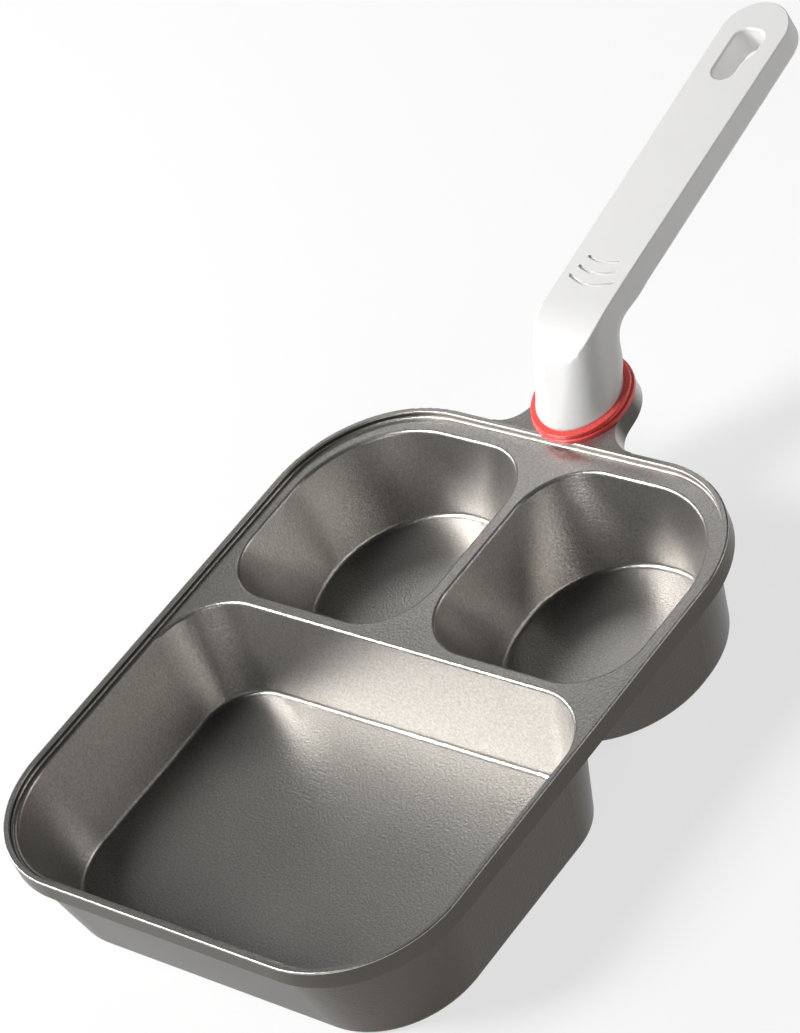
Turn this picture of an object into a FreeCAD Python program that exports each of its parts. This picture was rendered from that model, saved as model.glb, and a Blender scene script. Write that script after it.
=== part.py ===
import FreeCAD, Part
import math
import os
import Sketcher

# Frying pan with three wells, one casting with a moulded handle, in millimetres.
# The origin is the middle of the pan's outline, on the plane that it stands on.
# +Z is up and +Y points along the handle. The handle's parts are modelled about
# the seat on the pan's ear: there X is across, Y runs to the grip's tip and Z is
# square to the seat.

PAN_SIZES = [
    ("pan_width", 200.0, "rim's outer width, across the handle"),
    ("pan_length", 240.0, "rim's outer length, along the handle"),
    ("pan_height", 43.0, "rim's top above the plane that the pan stands on"),
    ("front_radius", 46.0, "rim's outer corner radius at the front"),
    ("back_radius", 49.5, "rim's outer corner radius at the handle"),
    ("rim_band", 2.4, "width of the flat band on the rim"),
    ("rim_edge", 0.6, "rounding of the band's two edges"),
    ("deck_drop", 2.7, "deck between the wells, below the rim"),
    ("deck_thickness", 3.0, "plate thickness of the deck"),
    ("deck_blend", 0.8, "hollow rounding between the rim and the deck"),
    ("skirt_height", 7.2, "height of the rim's outer skirt"),
    ("skirt_thickness", 2.8, "wall thickness of the skirt"),
    ("wall_thickness", 3.2, "wall thickness of the wells"),
    ("floor_thickness", 3.6, "floor thickness of the wells"),
    ("well_edge", 1.35, "rounding where a wall meets the deck"),
    ("floor_edge", 2.0, "hollow rounding where a wall meets the floor"),
    ("foot_edge", 2.5, "rounding of the outer bottom edges"),
]
LARGE_WELL_SIZES = [
    ("large_margin", 4.6, "rim's outer face to the large well's mouth"),
    ("large_front_radius", 41.4, "mouth's corner radius at the front"),
    ("large_back_radius", 25.8, "mouth's corner radius at the bridge"),
    ("large_run", 8.7, "how far each wall leans in from mouth to floor"),
    ("large_floor_front_radius", 32.2, "floor's corner radius at the front"),
    ("large_floor_back_radius", 21.1, "floor's corner radius at the bridge"),
]
SMALL_WELL_SIZES = [
    ("bridge_width", 4.9, "deck between the large well and the small ones"),
    ("small_gap", 6.2, "deck between the two small wells"),
    ("side_margin", 8.1, "from the pan's side to the mouth of a small well"),
    ("back_margin", 9.8, "from the pan's back to the mouth of a small well"),
    ("small_length", 90.2, "mouth of a small well, along the handle"),
    ("small_radius", 24.0, "mouth's corner radius at three corners"),
    ("small_outer_radius", 41.2, "mouth's corner radius beside the rim's corner"),
    ("small_run_across", 5.15, "run of a small well's side walls, mouth to floor"),
    ("small_run_along", 5.85, "run of its other two walls"),
    ("small_floor_flat", 0.65, "half the straight part left between the floor's corners"),
    ("small_floor_shift", 1.4, "how far the floor lies nearer to the middle"),
]
EAR_SIZES = [
    ("seat_setback", 16.4, "seat's centre behind the rim"),
    ("seat_rise", 2.6, "seat's centre above the rim's top"),
    ("seat_tilt", 9.0, "seat's slope, rising away from the pan"),
    ("ear_radius", 19.3, "round end of the ear"),
    ("ear_thickness", 8.0, "thickness of the ear, square to the seat"),
    ("ear_flare", 13.0, "hollow radius that joins the ear to the skirt"),
    ("ear_root", 1.9, "how far the ear reaches into the rim"),
    ("post_length", 22.0, "locating post on the seat, along the handle"),
    ("post_width", 14.0, "locating post, across the handle"),
    ("post_height", 4.0, "locating post above the seat"),
    ("bolt_hole", 5.5, "clearance hole for the screw"),
    ("recess_size", 13.0, "counterbore under the ear"),
    ("recess_depth", 5.6, "depth of the counterbore"),
]
RING_SIZES = [
    ("ring_size", 40.4, "outer size of the ring's lower lip"),
    ("ring_bore", 25.0, "opening of the ring, round the post"),
    ("ring_web", 1.5, "thickness of the ring under the neck"),
    ("ring_height", 3.7, "height of the ring's collar"),
    ("ring_lip", 1.55, "height of the ring's lower lip"),
    ("ring_groove", 0.9, "depth of the groove between the ring's two lips"),
    ("ring_groove_width", 0.6, "height of that groove at its mouth"),
    ("ring_step", 0.65, "how far the upper lip stands inside the lower one"),
    ("lip_round", 0.45, "rounding of the two lips"),
    ("neck_play", 0.1, "play between the neck and the collar"),
]
HANDLE_SIZES = [
    ("neck_size", 34.0, "diameter of the neck where it stands in the ring"),
    ("neck_straight", 3.0, "straight length at the foot of the neck"),
    ("blank_spare", 5.0, "height of the blank that the top face is cut from"),
    ("heel_radius", 10.5, "hollow radius under the bend"),
    ("heel_back", 20.4, "back of the neck behind the seat's centre"),
    ("lean_angle", 39.0, "lean of the neck's front, off the seat's axis"),
    ("grip_rise", 30.9, "grip's top face above the seat"),
    ("grip_thickness", 12.5, "thickness of the grip at the bend"),
    ("grip_tip_thickness", 11.7, "thickness of the grip at its tip"),
    ("grip_root_width", 27.8, "grip's width at the bend"),
    ("grip_tip_width", 29.4, "grip's width near the tip"),
    ("grip_reach", 162.2, "tip of the grip from the seat's centre"),
    ("grip_corner", 3.5, "rounding of the grip's lower edges"),
    ("bend_radius", 41.5, "radius of the top face where it dips to the neck"),
    ("bend_angle", 33.0, "how far the top face dips"),
    ("bend_start", 21.0, "start of the dip behind the seat's centre"),
]
HOLE_SIZES = [
    ("hole_end", 13.2, "end of the hanging hole from the grip's tip"),
    ("hole_length", 24.0, "length of the hanging hole"),
    ("hole_width", 13.2, "width of the hole at its wide end"),
    ("hole_step", 3.2, "how far its one side steps in"),
    ("hole_step_start", 8.6, "start of that step, from the hole's near end"),
    ("hole_step_length", 4.8, "length of the step's slope"),
    ("hole_radius", 4.6, "corner radius of the hole"),
    ("hole_edge", 0.9, "rounding of the hole's upper edge"),
    ("groove_radius", 19.9, "radius of the three curved grooves"),
    ("groove_width", 1.3, "width of a groove"),
    ("groove_depth", 1.1, "depth of a groove"),
    ("groove_pitch", 5.3, "distance from groove to groove"),
    ("groove_start", 28.2, "first groove from the seat's centre"),
    ("groove_reach", 19.5, "length of the first groove, end to end"),
    ("groove_taper", 3.0, "how much shorter each next groove is"),
]
FASTENER_SIZES = [
    ("screw_size", 5.0, "outer diameter of the screw"),
    ("screw_length", 16.0, "length of the screw under its head"),
    ("screw_head_size", 9.5, "diameter of the screw's head"),
    ("screw_head_height", 3.0, "height of the screw's head"),
    ("drive_width", 1.1, "width of each slot of the cross in the head"),
    ("drive_length", 5.2, "length of each slot of the cross"),
    ("drive_depth", 1.6, "depth of the cross"),
    ("washer_size", 12.0, "outer diameter of the flat washer"),
    ("washer_thickness", 1.0, "thickness of the flat washer"),
    ("spring_size", 9.2, "outer diameter of the spring washer"),
    ("spring_thickness", 1.2, "thickness of the spring washer"),
    ("spring_gap", 1.2, "gap in the spring washer"),
    ("washer_play", 0.15, "play of the washers round the screw"),
    ("insert_size", 7.6, "outer diameter of the threaded insert"),
    ("insert_length", 10.0, "length of the threaded insert"),
    ("insert_waist", 0.6, "depth of the groove round the insert"),
    ("insert_lip", 3.0, "length of the insert at each side of that groove"),
    ("thread_play", 0.05, "play of the screw in the insert's thread"),
    ("socket_play", 0.3, "play of the post in the neck's socket"),
]
SIZE_GROUPS = [
    PAN_SIZES, LARGE_WELL_SIZES, SMALL_WELL_SIZES, EAR_SIZES,
    RING_SIZES, HANDLE_SIZES, HOLE_SIZES, FASTENER_SIZES,
]

X_AXIS = FreeCAD.Vector(1, 0, 0)
UP = FreeCAD.Vector(0, 0, 1)
FLAT = 0.001

document = FreeCAD.newDocument("DividedFryingPan")


def fill_sheet():
    """Write every driving size to the sheet, with its alias and its meaning."""
    sheet = document.addObject("Spreadsheet::Sheet", "Sizes")
    row = 0
    for group in SIZE_GROUPS:
        for alias, number, meaning in group:
            row += 1
            sheet.set(f"A{row}", alias)
            sheet.set(f"B{row}", str(number))
            sheet.set(f"C{row}", meaning)
            sheet.setAlias(f"B{row}", alias)
    document.recompute()
    return sheet


sizes = fill_sheet()


def size(alias):
    """A driving size as a number, read from the sheet."""
    return float(sizes.get(alias))


def bind(item, links):
    """Tie properties of an object to expressions on the sheet."""
    for name, expression in links.items():
        item.setExpression(name, expression)


# Helpers for bodies, sketches and features

def new_body(label, on_seat=False):
    body = document.addObject("PartDesign::Body", label)
    body.Label = label
    if on_seat:
        body.Placement = FreeCAD.Placement(FreeCAD.Vector(), FreeCAD.Rotation(X_AXIS, size("seat_tilt")))
        bind(body, {
            "Placement.Base.y": "Sizes.pan_length / 2 + Sizes.seat_setback",
            "Placement.Base.z": "Sizes.pan_height + Sizes.seat_rise",
            "Placement.Rotation.Angle": "Sizes.seat_tilt * 1 deg",
        })
    return body


def origin_plane(body, role):
    for feature in body.Origin.OriginFeatures:
        if feature.Role == role:
            return feature
    raise ValueError(role)


def new_sketch(body, name, role="XY_Plane", offset=None, turn=None):
    """A sketch on one of the body's planes, moved by expressions and turned about X."""
    sketch = body.newObject("Sketcher::SketchObject", name)
    sketch.AttachmentSupport = [(origin_plane(body, role), "")]
    sketch.MapMode = "FlatFace"
    if turn is not None:
        sketch.AttachmentOffset = FreeCAD.Placement(FreeCAD.Vector(), FreeCAD.Rotation(X_AXIS, 10))
        sketch.setExpression("AttachmentOffset.Rotation.Angle", turn)
    for axis, expression in (offset or {}).items():
        sketch.setExpression(f"AttachmentOffset.Base.{axis}", expression)
    return sketch


def limit(sketch, name, constraint, expression):
    """Add a dimension with a name and tie it to the sheet."""
    index = sketch.addConstraint(constraint)
    sketch.renameConstraint(index, name)
    sketch.setExpression(f"Constraints.{name}", expression)


def vector(x, y):
    return FreeCAD.Vector(x, y, 0)


def rounded_rectangle(sketch, width, length, radii):
    """A rectangle about the sketch's origin; radii run from its lower left corner anticlockwise."""
    half_x, half_y, corner = 50.0, 60.0, 12.0
    centres = [
        (-half_x + corner, -half_y + corner), (half_x - corner, -half_y + corner),
        (half_x - corner, half_y - corner), (-half_x + corner, half_y - corner),
    ]
    ends = []
    for number, centre in enumerate(centres):
        first = math.pi + number * math.pi / 2
        circle = Part.Circle(vector(*centre), UP, corner)
        arc = Part.ArcOfCircle(circle, first, first + math.pi / 2)
        sketch.addGeometry(arc)
        ends.append((arc.StartPoint, arc.EndPoint))
    for number in range(4):
        sketch.addGeometry(Part.LineSegment(ends[number][1], ends[(number + 1) % 4][0]))
    for number in range(4):
        line = 4 + number
        sketch.addConstraint(Sketcher.Constraint("Tangent", number, 2, line, 1))
        sketch.addConstraint(Sketcher.Constraint("Tangent", line, 2, (number + 1) % 4, 1))
        direction = "Horizontal" if number % 2 == 0 else "Vertical"
        sketch.addConstraint(Sketcher.Constraint(direction, line))
    bottom, right, top, left = range(4, 8)
    limit(sketch, "to_left", Sketcher.Constraint("DistanceX", left, 1, -1, 1, half_x), f"({width}) / 2")
    limit(sketch, "to_right", Sketcher.Constraint("DistanceX", -1, 1, right, 1, half_x), f"({width}) / 2")
    limit(sketch, "to_bottom", Sketcher.Constraint("DistanceY", bottom, 1, -1, 1, half_y), f"({length}) / 2")
    limit(sketch, "to_top", Sketcher.Constraint("DistanceY", -1, 1, top, 1, half_y), f"({length}) / 2")
    for number, radius in enumerate(radii):
        limit(sketch, f"corner_{number}", Sketcher.Constraint("Radius", number, corner), radius)
    return sketch


def polygon(sketch, corners):
    """A closed outline of straight lines, each corner placed by two expressions."""
    count = len(corners)
    rough = []
    for number in range(count):
        angle = 2 * math.pi * number / count
        rough.append(vector(20 + 10 * math.cos(angle), 20 + 10 * math.sin(angle)))
    for number in range(count):
        sketch.addGeometry(Part.LineSegment(rough[number], rough[(number + 1) % count]))
    for number in range(count):
        sketch.addConstraint(Sketcher.Constraint("Coincident", number, 2, (number + 1) % count, 1))
    for number, (x, y) in enumerate(corners):
        limit(sketch, f"x_{number}", Sketcher.Constraint("DistanceX", -1, 1, number, 1, 1.0), x)
        limit(sketch, f"y_{number}", Sketcher.Constraint("DistanceY", -1, 1, number, 1, 1.0), y)
    return sketch


def circle_sketch(body, name, diameter, offset=None, turn=None):
    sketch = new_sketch(body, name, "XY_Plane", offset, turn)
    sketch.addGeometry(Part.Circle(vector(0, 0), UP, 10.0))
    sketch.addConstraint(Sketcher.Constraint("Coincident", 0, 3, -1, 1))
    limit(sketch, "diameter", Sketcher.Constraint("Diameter", 0, 20.0), diameter)
    return sketch


def volume(body):
    document.recompute()
    return body.Shape.Volume


def extrude(body, kind, name, sketch, length, reverse=False):
    """A pad or pocket of a sketch, refused unless it changes the volume the right way."""
    before = volume(body) if body.Tip and body.Tip != sketch and body.Shape.Solids else 0.0
    feature = body.newObject(f"PartDesign::{kind}", name)
    feature.Profile = sketch
    feature.Type = "Length"
    feature.Reversed = reverse
    feature.setExpression("Length", length)
    check_change(body, name, before, grows=(kind == "Pad"))
    return feature


def loft(body, kind, name, sketches, ruled=True):
    before = volume(body) if body.Shape.Solids else 0.0
    feature = body.newObject(f"PartDesign::{kind}", name)
    feature.Profile = sketches[0]
    feature.Sections = sketches[1:]
    feature.Ruled = ruled
    check_change(body, name, before, grows=(kind == "AdditiveLoft"))
    return feature


def turn_about_axis(body, kind, name, sketch, grows):
    """A full revolution or groove about the body's Z axis."""
    before = volume(body) if body.Shape.Solids else 0.0
    feature = body.newObject(f"PartDesign::{kind}", name)
    feature.Profile = sketch
    feature.ReferenceAxis = (origin_plane(body, "Z_Axis"), [""])
    feature.Angle = 360.0
    check_change(body, name, before, grows)
    return feature


def check_change(body, name, before, grows):
    after = volume(body)
    if (after > before) != grows or abs(after - before) < FLAT:
        raise RuntimeError(f"{body.Label}: {name} went from {before:.1f} to {after:.1f}")


def round_edges(body, name, pick, radius):
    """Round the edges that pick finds on the body's newest feature."""
    base = body.Tip
    edges = pick(base.Shape)
    names = []
    for number, one in enumerate(base.Shape.Edges):
        if any(one.isSame(edge) for edge in edges):
            names.append(f"Edge{number + 1}")
    feature = body.newObject("PartDesign::Fillet", name)
    feature.Base = (base, names)
    feature.setExpression("Radius", radius)
    document.recompute()
    return feature


def level_faces(shape, height, up):
    """Flat faces at a height whose outward side looks up or down."""
    found = []
    for face in shape.Faces:
        box = face.BoundBox
        if box.ZLength > FLAT or abs(box.ZMin - height) > FLAT:
            continue
        if (face.normalAt(0, 0).z > 0) == up:
            found.append(face)
    return found


# The casting

def rim_outline(body, name, height, inset):
    sketch = new_sketch(body, name, "XY_Plane", {"z": height})
    front = f"Sizes.front_radius - ({inset})"
    back = f"Sizes.back_radius - ({inset})"
    width = f"Sizes.pan_width - 2 * ({inset})"
    length = f"Sizes.pan_length - 2 * ({inset})"
    return rounded_rectangle(sketch, width, length, [front, front, back, back])


LARGE_LENGTH = (
    "(Sizes.pan_length - Sizes.large_margin - Sizes.bridge_width"
    " - Sizes.small_length - Sizes.back_margin)"
)
SMALL_WIDTH = "((Sizes.pan_width - Sizes.small_gap) / 2 - Sizes.side_margin)"
SMALL_Y = "Sizes.pan_length / 2 - Sizes.back_margin - Sizes.small_length / 2"


def large_outline(body, name, height, inset, front, back):
    """An outline of the large well, set in from its mouth."""
    middle = f"{LARGE_LENGTH} / 2 + Sizes.large_margin - Sizes.pan_length / 2"
    sketch = new_sketch(body, name, "XY_Plane", {"y": middle, "z": height})
    width = f"Sizes.pan_width - 2 * Sizes.large_margin - 2 * ({inset})"
    length = f"{LARGE_LENGTH} - 2 * ({inset})"
    return rounded_rectangle(sketch, width, length, [front, front, back, back])


def small_outline(body, name, side, height, outset):
    """The mouth of a small well on one side, -1 or 1, grown by an outset."""
    middle = f"{side} * (Sizes.small_gap + {SMALL_WIDTH}) / 2"
    sketch = new_sketch(body, name, "XY_Plane", {"x": middle, "y": SMALL_Y, "z": height})
    plain = f"Sizes.small_radius + ({outset})"
    outer = f"Sizes.small_outer_radius + ({outset})"
    radii = [plain, plain, outer, plain] if side > 0 else [plain, plain, plain, outer]
    width = f"{SMALL_WIDTH} + 2 * ({outset})"
    length = f"Sizes.small_length + 2 * ({outset})"
    return rounded_rectangle(sketch, width, length, radii)


def small_floor_outline(body, name, side, height, outset):
    middle = f"{side} * ((Sizes.small_gap + {SMALL_WIDTH}) / 2 - Sizes.small_floor_shift)"
    sketch = new_sketch(body, name, "XY_Plane", {"x": middle, "y": SMALL_Y, "z": height})
    width = f"({SMALL_WIDTH} - 2 * Sizes.small_run_across + 2 * ({outset}))"
    length = f"(Sizes.small_length - 2 * Sizes.small_run_along + 2 * ({outset}))"
    radius = f"min({width}; {length}) / 2 - Sizes.small_floor_flat"
    return rounded_rectangle(sketch, width, length, [radius] * 4)


DECK_Z = "Sizes.pan_height - Sizes.deck_drop"
SKIRT_Z = "Sizes.pan_height - Sizes.skirt_height"
SIDES = {"left": -1, "right": 1}


def add_plate(body):
    outline = rim_outline(body, "PlateOutline", SKIRT_Z, "0")
    extrude(body, "Pad", "Plate", outline, "Sizes.skirt_height")
    inside = rim_outline(body, "UndersideOutline", SKIRT_Z, "Sizes.skirt_thickness")
    depth = "Sizes.skirt_height - Sizes.deck_drop - Sizes.deck_thickness"
    extrude(body, "Pocket", "Underside", inside, depth, reverse=True)


def add_cups(body):
    wall = "Sizes.wall_thickness"
    mouth = large_outline(
        body, "LargeCupTop", DECK_Z, f"-{wall}",
        f"Sizes.large_front_radius + {wall}", f"Sizes.large_back_radius + {wall}")
    foot = large_outline(
        body, "LargeCupFoot", "0", f"Sizes.large_run - {wall}",
        f"Sizes.large_floor_front_radius + {wall}", f"Sizes.large_floor_back_radius + {wall}")
    loft(body, "AdditiveLoft", "LargeCup", [mouth, foot])
    for name, side in SIDES.items():
        title = name.capitalize()
        mouth = small_outline(body, f"{title}CupTop", side, DECK_Z, wall)
        foot = small_floor_outline(body, f"{title}CupFoot", side, "0", wall)
        loft(body, "AdditiveLoft", f"{title}Cup", [mouth, foot])


def cut_wells(body):
    inside = rim_outline(body, "DeckOutline", DECK_Z, "Sizes.rim_band")
    extrude(body, "Pocket", "Deck", inside, "Sizes.deck_drop", reverse=True)
    mouth = large_outline(
        body, "LargeMouth", DECK_Z, "0", "Sizes.large_front_radius", "Sizes.large_back_radius")
    floor = large_outline(
        body, "LargeFloor", "Sizes.floor_thickness", "Sizes.large_run",
        "Sizes.large_floor_front_radius", "Sizes.large_floor_back_radius")
    loft(body, "SubtractiveLoft", "LargeWell", [mouth, floor])
    for name, side in SIDES.items():
        title = name.capitalize()
        mouth = small_outline(body, f"{title}Mouth", side, DECK_Z, "0")
        floor = small_floor_outline(body, f"{title}Floor", side, "Sizes.floor_thickness", "0")
        loft(body, "SubtractiveLoft", f"{title}Well", [mouth, floor])


def floor_edges(shape):
    return [e for f in level_faces(shape, size("floor_thickness"), True) for e in f.Edges]


def foot_edges(shape):
    return [e for f in level_faces(shape, 0.0, False) for e in f.Edges]


def deck_face(shape):
    return level_faces(shape, size("pan_height") - size("deck_drop"), True)[0]


def mouth_edges(shape):
    deck = deck_face(shape)
    rim_side = deck.OuterWire.Edges
    return [e for e in deck.Edges if not any(e.isSame(one) for one in rim_side)]


def deck_edges(shape):
    return deck_face(shape).OuterWire.Edges


def rim_edges(shape):
    return level_faces(shape, size("pan_height"), True)[0].Edges


def round_casting(body):
    round_edges(body, "FloorRounds", floor_edges, "Sizes.floor_edge")
    round_edges(body, "FootRounds", foot_edges, "Sizes.foot_edge")
    round_edges(body, "MouthRounds", mouth_edges, "Sizes.well_edge")
    round_edges(body, "DeckBlend", deck_edges, "Sizes.deck_blend")
    round_edges(body, "RimRounds", rim_edges, "Sizes.rim_edge")


EAR_OFFSET = {
    "y": "Sizes.pan_length / 2 + Sizes.seat_setback",
    "z": "Sizes.pan_height + Sizes.seat_rise",
}
TILT = "Sizes.seat_tilt * 1 deg"


def seat_offset(depth="0"):
    """Place of a plane below the seat, measured square to it."""
    return {
        "y": f"{EAR_OFFSET['y']} + ({depth}) * sin({TILT})",
        "z": f"{EAR_OFFSET['z']} - ({depth}) * cos({TILT})",
    }


def ear_outline(body):
    """Round-ended ear whose two sides flare into the rim with hollow arcs."""
    sketch = new_sketch(body, "EarOutline", "XY_Plane", seat_offset(), TILT)
    radius, flare, back, root = 19.0, 13.0, -16.0, -18.0
    out = radius + flare
    knee = back + flare
    quarter = math.pi / 2
    parts = [
        Part.ArcOfCircle(Part.Circle(vector(0, 0), UP, radius), 0.0, math.pi),
        Part.LineSegment(vector(-radius, 0), vector(-radius, knee)),
        Part.ArcOfCircle(Part.Circle(vector(-out, knee), UP, flare), 3 * quarter, 4 * quarter),
        Part.LineSegment(vector(-out, back), vector(-out, root)),
        Part.LineSegment(vector(-out, root), vector(out, root)),
        Part.LineSegment(vector(out, root), vector(out, back)),
        Part.ArcOfCircle(Part.Circle(vector(out, knee), UP, flare), 2 * quarter, 3 * quarter),
        Part.LineSegment(vector(radius, knee), vector(radius, 0)),
    ]
    for part in parts:
        sketch.addGeometry(part)
    add = sketch.addConstraint
    add(Sketcher.Constraint("Coincident", 0, 3, -1, 1))
    add(Sketcher.Constraint("Tangent", 0, 2, 1, 1))
    add(Sketcher.Constraint("Tangent", 1, 2, 2, 2))
    add(Sketcher.Constraint("Coincident", 2, 1, 3, 1))
    add(Sketcher.Constraint("Coincident", 3, 2, 4, 1))
    add(Sketcher.Constraint("Coincident", 4, 2, 5, 1))
    add(Sketcher.Constraint("Coincident", 5, 2, 6, 2))
    add(Sketcher.Constraint("Tangent", 6, 1, 7, 1))
    add(Sketcher.Constraint("Tangent", 7, 2, 0, 1))
    for line in (1, 3, 5, 7):
        add(Sketcher.Constraint("Vertical", line))
    add(Sketcher.Constraint("Horizontal", 4))
    add(Sketcher.Constraint("Vertical", 2, 3, 2, 1))
    add(Sketcher.Constraint("Vertical", 6, 3, 6, 2))
    add(Sketcher.Constraint("Equal", 2, 6))
    limit(sketch, "ear_radius", Sketcher.Constraint("Radius", 0, radius), "Sizes.ear_radius")
    limit(sketch, "flare", Sketcher.Constraint("Radius", 2, flare), "Sizes.ear_flare")
    setback = f"Sizes.seat_setback / cos({TILT})"
    limit(sketch, "to_skirt_a", Sketcher.Constraint("DistanceY", 2, 1, -1, 1, -back), setback)
    limit(sketch, "to_skirt_b", Sketcher.Constraint("DistanceY", 6, 2, -1, 1, -back), setback)
    limit(
        sketch, "to_root", Sketcher.Constraint("DistanceY", 4, 1, -1, 1, -root),
        f"{setback} + Sizes.ear_root")
    return sketch


def add_ear(body):
    extrude(body, "Pad", "Ear", ear_outline(body), "Sizes.ear_thickness", reverse=True)
    clear = circle_sketch(body, "SeatCircle", "Sizes.ring_size + 2 * Sizes.neck_play", seat_offset(), TILT)
    extrude(body, "Pocket", "SeatFlat", clear, "Sizes.post_height", reverse=True)
    post = new_sketch(body, "PostOutline", "XY_Plane", seat_offset(), TILT)
    corner = "Sizes.post_width / 2 - 0.05"
    rounded_rectangle(post, "Sizes.post_width", "Sizes.post_length", [corner] * 4)
    extrude(body, "Pad", "Post", post, "Sizes.post_height")
    underside = seat_offset("Sizes.ear_thickness")
    hole = circle_sketch(body, "BoltHoleCircle", "Sizes.bolt_hole", underside, TILT)
    extrude(body, "Pocket", "BoltHole", hole, "Sizes.ear_thickness + Sizes.post_height", reverse=True)
    recess = circle_sketch(body, "RecessCircle", "Sizes.recess_size", underside, TILT)
    extrude(body, "Pocket", "ScrewRecess", recess, "Sizes.recess_depth", reverse=True)


def make_pan():
    body = new_body("pan_body")
    add_plate(body)
    add_cups(body)
    cut_wells(body)
    round_casting(body)
    add_ear(body)
    return body


# The ring between the casting and the handle

def make_ring():
    """Soft ring with a web under the neck and a collar of two lips round it."""
    body = new_body("neck_ring", on_seat=True)
    inside = "(Sizes.neck_size / 2 + Sizes.neck_play)"
    outside = "Sizes.ring_size / 2"
    upper = f"({outside} - Sizes.ring_step)"
    corners = [
        ("Sizes.ring_bore / 2", "0"),
        (outside, "0"),
        (outside, "Sizes.ring_lip"),
        (f"{outside} - Sizes.ring_groove", "Sizes.ring_lip + Sizes.ring_groove_width / 2"),
        (upper, "Sizes.ring_lip + Sizes.ring_groove_width"),
        (upper, "Sizes.ring_height"),
        (inside, "Sizes.ring_height"),
        (inside, "Sizes.ring_web"),
        ("Sizes.ring_bore / 2", "Sizes.ring_web"),
    ]
    profile = polygon(new_sketch(body, "RingProfile", "XZ_Plane"), corners)
    turn_about_axis(body, "Revolution", "Ring", profile, True)

    def lip_edges(shape):
        found = []
        for edge in shape.Edges:
            box = edge.BoundBox
            level = box.ZLength < FLAT
            wide = box.XMax > size("ring_size") / 2 - size("ring_step") - FLAT
            low = box.ZMin > FLAT
            if level and wide and low and edge.Closed:
                found.append(edge)
        return found

    round_edges(body, "LipRounds", lip_edges, "Sizes.lip_round")
    return body


# The handle

HEEL_Y = "(Sizes.heel_back + Sizes.heel_radius)"
HEEL_Z = "(Sizes.grip_rise - Sizes.grip_thickness - Sizes.heel_radius)"
NECK_Z = "(Sizes.ring_web + Sizes.neck_straight)"
LEAN = "tan(Sizes.lean_angle * 1 deg)"

# Each station of the bend: angle about the heel, share of the narrowing, corner share
BEND_STATIONS = [(0, 0.35, 0.93), (18, 0.50, 0.84), (36, 0.80, 0.74), (60, 0.97, 0.60)]


def bend_reach(angle):
    """From the heel's centre to the blank's outer side, in the direction of a station."""
    turn = f"{angle} deg"
    start = f"({HEEL_Y} + Sizes.neck_size / 2 - ({HEEL_Z} - {NECK_Z}) * {LEAN})"
    front = f"{start} / (cos({turn}) + sin({turn}) * {LEAN})"
    if angle == 0:
        return front
    top = f"(Sizes.grip_rise + Sizes.blank_spare - {HEEL_Z}) / sin({turn})"
    return f"min({front}; {top})"


def bend_section(body, angle, narrowing, corner):
    reach = bend_reach(angle)
    middle = f"(Sizes.heel_radius + {reach}) / 2"
    turn = f"{angle} deg"
    offset = {
        "y": f"{HEEL_Y} - {middle} * cos({turn})",
        "z": f"{HEEL_Z} + {middle} * sin({turn})",
    }
    sketch = new_sketch(body, f"Bend{angle}", "XY_Plane", offset, f"-{angle} deg" if angle else None)
    width = f"(Sizes.neck_size + (Sizes.grip_root_width - Sizes.neck_size) * {narrowing})"
    depth = f"({reach} - Sizes.heel_radius)"
    radius = f"min({width}; {depth}) / 2 * {corner}"
    return rounded_rectangle(sketch, width, depth, [radius] * 4)


def grip_section(body, name, width, thickness, distance):
    """The grip's blank, square to its length, at a distance behind the seat."""
    middle = f"Sizes.grip_rise + (Sizes.blank_spare - {thickness}) / 2"
    sketch = new_sketch(body, name, "XY_Plane", {"y": distance, "z": middle}, "-90 deg")
    depth = f"{thickness} + Sizes.blank_spare"
    return rounded_rectangle(sketch, width, depth, ["Sizes.grip_corner"] * 4)


def add_blank(body):
    foot = new_sketch(body, "NeckFoot", "XY_Plane", {"z": NECK_Z})
    rounded_rectangle(foot, "Sizes.neck_size", "Sizes.neck_size", ["Sizes.neck_size * 0.497"] * 4)
    extrude(body, "Pad", "NeckStand", foot, "Sizes.neck_straight", reverse=True)
    width, thickness = "Sizes.grip_root_width", "Sizes.grip_thickness"
    root = grip_section(body, "GripRoot", width, thickness, HEEL_Y)
    bends = [bend_section(body, *station) for station in BEND_STATIONS]
    straight = grip_section(body, "GripStart", width, thickness, f"{HEEL_Y} + Sizes.heel_radius")
    loft(body, "AdditiveLoft", "Bend", [foot] + bends + [root, straight], ruled=False)
    tip = grip_section(
        body, "GripTip", "Sizes.grip_tip_width", "Sizes.grip_tip_thickness",
        "Sizes.grip_reach + Sizes.blank_spare / 2")
    loft(body, "AdditiveLoft", "Grip", [straight, tip])


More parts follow.
